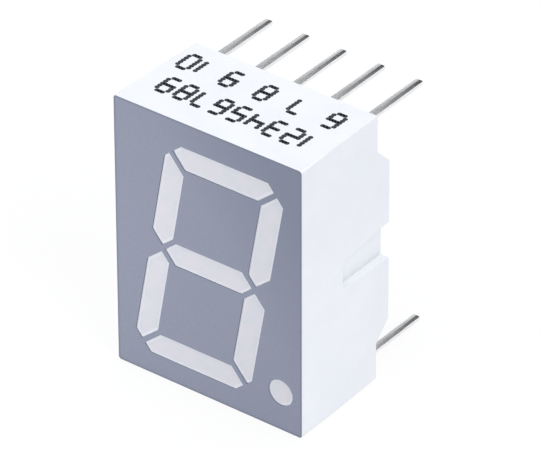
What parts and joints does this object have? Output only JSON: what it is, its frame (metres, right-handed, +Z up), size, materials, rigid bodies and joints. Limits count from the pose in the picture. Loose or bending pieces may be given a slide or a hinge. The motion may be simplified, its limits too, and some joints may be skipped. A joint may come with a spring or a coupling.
{
  "type": "seven segment display",
  "caption": "Upright seven-segment digit with a decimal point, in a white moulded housing with a grey face and rows of pins behind.",
  "frame": {"origin": "middle of the pin pattern, on the board that the feet stand on", "axes": "+X to the reader's right, +Y from the display face into the board, +Z up the digit"},
  "size_m": [0.0126, 0.0121, 0.017],
  "materials": {
    "white_plastic": "smooth moulded white",
    "grey_ink": "flat blue-grey ink",
    "diffusing_resin": "milky satin resin",
    "chip": "polished",
    "gold_wire": "bright",
    "tinned_metal": "tinned",
    "back_resin": "cast, milky"
  },
  "bodies": {
    "root": {"housing": "white_plastic", "face_coat": "grey_ink", "segment_a": "diffusing_resin", "segment_b": "diffusing_resin", "segment_c": "diffusing_resin", "segment_d": "diffusing_resin", "segment_e": "diffusing_resin", "segment_f": "diffusing_resin", "segment_g": "diffusing_resin", "decimal_point": "diffusing_resin", "led_chip_a": "chip", "led_chip_b": "chip", "led_chip_c": "chip", "led_chip_d": "chip", "led_chip_e": "chip", "led_chip_f": "chip", "led_chip_g": "chip", "led_chip_dp": "chip", "bond_wire_a": "gold_wire", "bond_wire_b": "gold_wire", "bond_wire_c": "gold_wire", "bond_wire_d": "gold_wire", "bond_wire_e": "gold_wire", "bond_wire_f": "gold_wire", "bond_wire_g": "gold_wire", "bond_wire_dp": "gold_wire", "lead_a": "tinned_metal", "lead_b": "tinned_metal", "lead_c": "tinned_metal", "lead_d": "tinned_metal", "lead_e": "tinned_metal", "lead_f": "tinned_metal", "lead_g": "tinned_metal", "lead_dp": "tinned_metal", "common_lead": "tinned_metal", "potting": "back_resin"}
  },
  "joints": []
}
